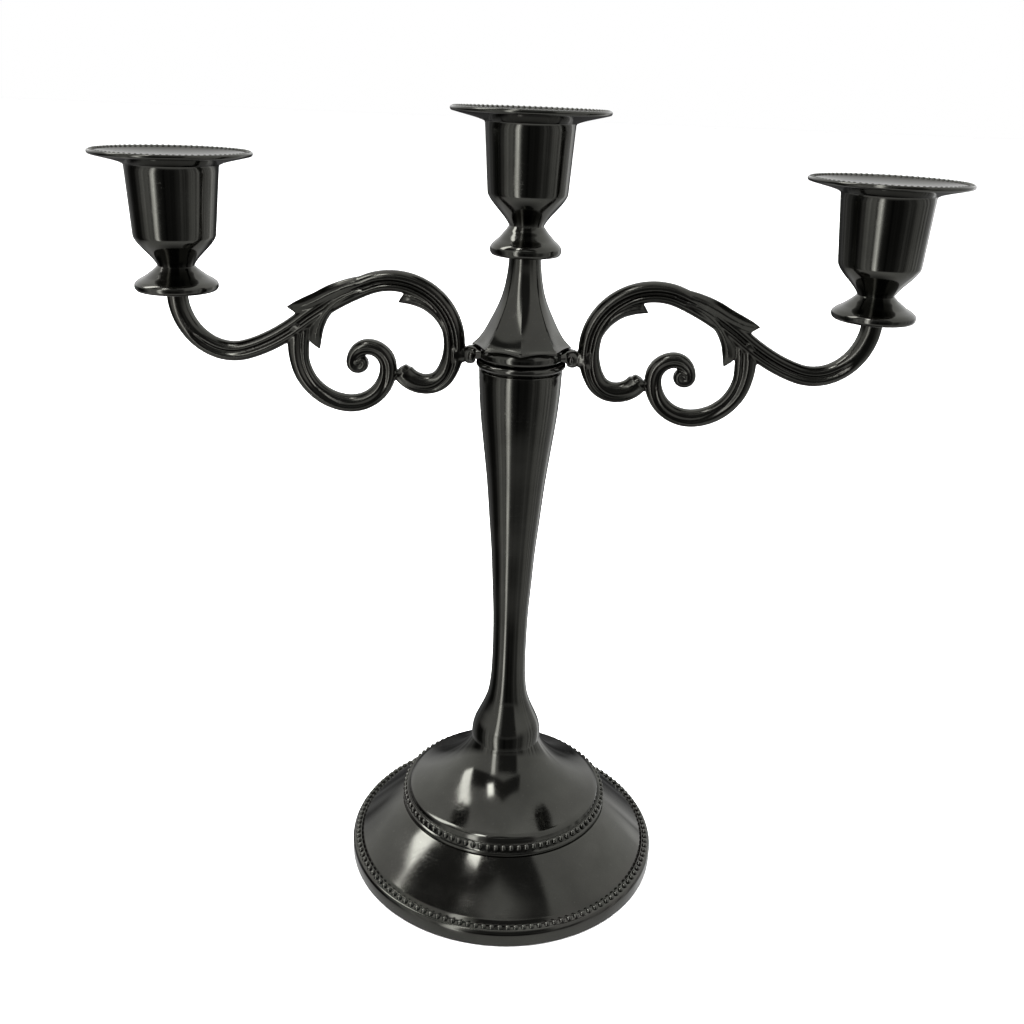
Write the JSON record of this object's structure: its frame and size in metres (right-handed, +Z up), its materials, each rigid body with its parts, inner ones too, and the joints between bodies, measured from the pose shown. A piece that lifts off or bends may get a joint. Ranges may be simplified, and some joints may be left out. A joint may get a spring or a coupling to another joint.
{
  "type": "tabletop candelabra",
  "caption": "Tabletop candelabra: beaded round base, tapered stem, two scrolled leaf arms, and flared candle cups with wide drip pans, in dark plated metal.",
  "frame": {"origin": "centre of the base, on the plane that it stands on", "axes": "+Z up along the stem; the two arms run along X; the front faces -Y"},
  "size_m": [0.2816, 0.1118, 0.27],
  "materials": {
    "black_nickel": "glossy dark gunmetal plating on cast zinc alloy, lightly scratched",
    "zinc_plated_steel": "bright zinc-plated steel",
    "rubber_pad": "matt black foam rubber"
  },
  "bodies": {
    "stand": {"base_pad": "rubber_pad", "base_foot": "black_nickel", "base_dome": "black_nickel", "base_washer": "zinc_plated_steel", "base_lock_washer": "zinc_plated_steel", "base_bolt": "zinc_plated_steel", "stem": "black_nickel", "crown_stud": "zinc_plated_steel"},
    "arm_crown": {"arm_hub": "black_nickel", "left_arm": "black_nickel", "right_arm": "black_nickel", "arm_pins": "black_nickel"},
    "riser_top": {"riser": "black_nickel"},
    "left_candle_holder": {"left_bell": "black_nickel", "left_cup": "black_nickel", "left_drip_pan": "black_nickel", "left_cup_screw": "zinc_plated_steel"},
    "centre_candle_holder": {"centre_bell": "black_nickel", "centre_cup": "black_nickel", "centre_drip_pan": "black_nickel", "centre_cup_screw": "zinc_plated_steel"},
    "right_candle_holder": {"right_bell": "black_nickel", "right_cup": "black_nickel", "right_drip_pan": "black_nickel", "right_cup_screw": "zinc_plated_steel"}
  },
  "joints": [
    {"name": "crown_swivel", "type": "hinge", "parent": "stand", "child": "arm_crown", "pos_m": [0, 0, 0.19], "axis": [0, 0, 1], "continuous": true},
    {"name": "riser_turn", "type": "hinge", "parent": "stand", "child": "riser_top", "pos_m": [0, 0, 0.2], "axis": [0, 0, 1], "continuous": true},
    {"name": "left_cup_turn", "type": "hinge", "parent": "arm_crown", "child": "left_candle_holder", "pos_m": [-0.115, 0, 0.21], "axis": [0, 0, 1], "continuous": true},
    {"name": "centre_cup_turn", "type": "hinge", "parent": "riser_top", "child": "centre_candle_holder", "pos_m": [0, 0, 0.23], "axis": [0, 0, 1], "continuous": true},
    {"name": "right_cup_turn", "type": "hinge", "parent": "arm_crown", "child": "right_candle_holder", "pos_m": [0.115, 0, 0.21], "axis": [0, 0, 1], "continuous": true}
  ]
}
